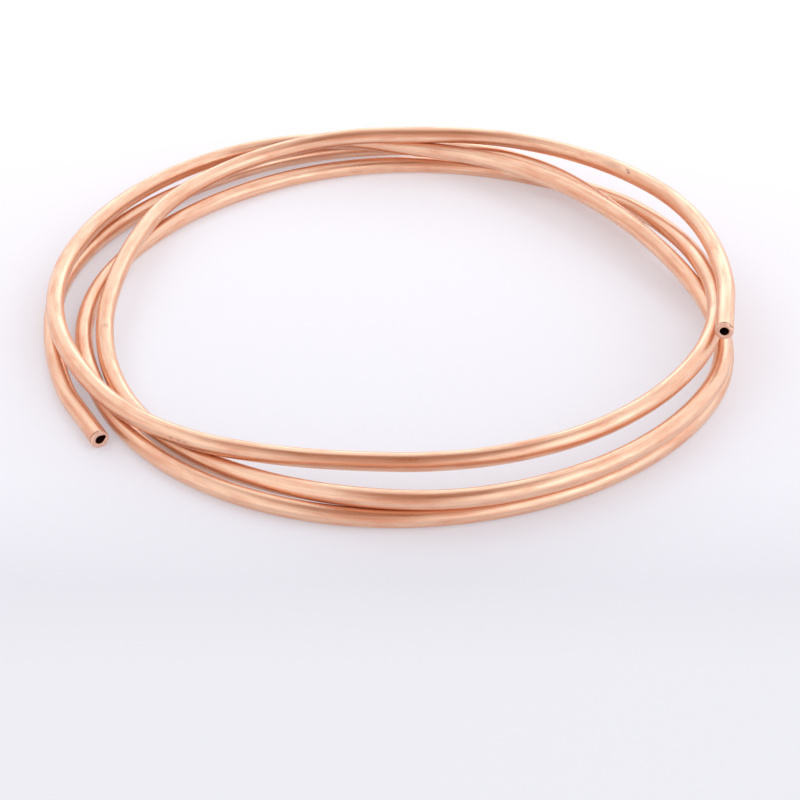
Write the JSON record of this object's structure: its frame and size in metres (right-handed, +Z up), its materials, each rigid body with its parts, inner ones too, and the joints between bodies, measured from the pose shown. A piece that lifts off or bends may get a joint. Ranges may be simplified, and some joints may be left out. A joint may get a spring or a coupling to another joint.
{
  "type": "copper tube coil",
  "caption": "Loose hand-wound coil of thin bare copper tube lying flat, its turns crossing over one another, with two free cut ends.",
  "frame": {"origin": "on the floor, under the middle of the coil's bounding box", "axes": "+Z up; +X to the right as the picture shows the coil, the picture's camera standing on the -Y side; the upper cut end is at +X and the lower one at -X -Y, both pointing towards -Y"},
  "size_m": [0.1924, 0.1867, 0.0207],
  "materials": {
    "copper": "bright drawn copper, satin, with fine lengthwise draw lines"
  },
  "bodies": {
    "root": {"copper_tube": "copper"}
  },
  "joints": []
}
